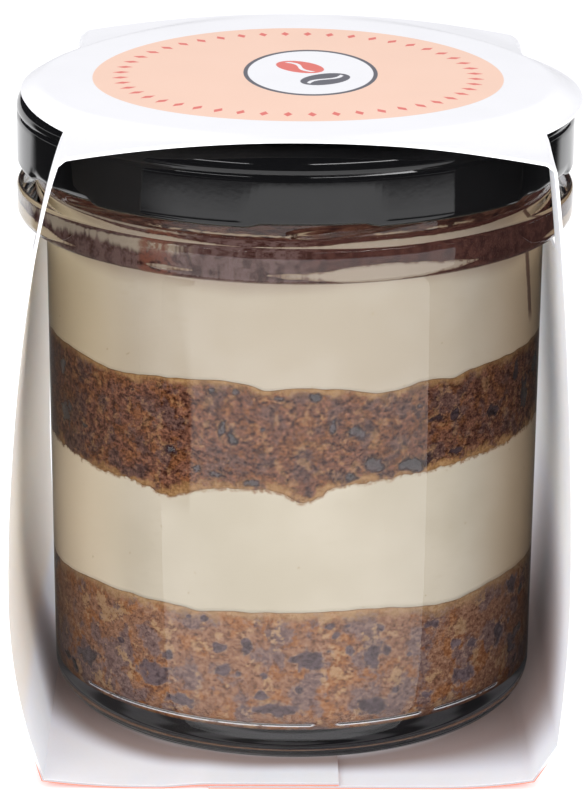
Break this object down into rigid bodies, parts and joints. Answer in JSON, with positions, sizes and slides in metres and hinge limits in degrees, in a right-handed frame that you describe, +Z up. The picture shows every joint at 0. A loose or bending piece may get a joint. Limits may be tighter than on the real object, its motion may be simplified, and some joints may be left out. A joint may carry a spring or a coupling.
{
  "type": "tiramisu cup",
  "caption": "Single-serve tiramisu in a shut glass jar: layers of sponge and cream under cocoa, a twist-off lid, and a folded card sleeve round the jar.",
  "frame": {"origin": "on the supporting surface, under the middle of the whole object's box", "axes": "+Z up through the lid; -Y is the open side of the sleeve that faces the viewer, and +X is to the viewer's right, across the sleeve's closed sides"},
  "size_m": [0.0881, 0.0866, 0.1015],
  "materials": {
    "clear_glass": "clear pressed glass, polished",
    "black_lacquer": "gloss black lacquer on tinplate",
    "coated_card": "smooth white coated board, printed, satin",
    "soaked_sponge": "sponge soaked with coffee, moist open crumb",
    "sponge": "coffee sponge, open crumb",
    "cream": "soft mascarpone cream, fine even surface",
    "cocoa": "matt cocoa powder, moist in places"
  },
  "bodies": {
    "root": {"glass_jar": "clear_glass", "lid": "black_lacquer", "card_sleeve": "coated_card", "sponge_lower": "soaked_sponge", "cream_lower": "cream", "sponge_upper": "sponge", "cream_upper": "cream", "cocoa_layer": "cocoa"}
  },
  "joints": []
}
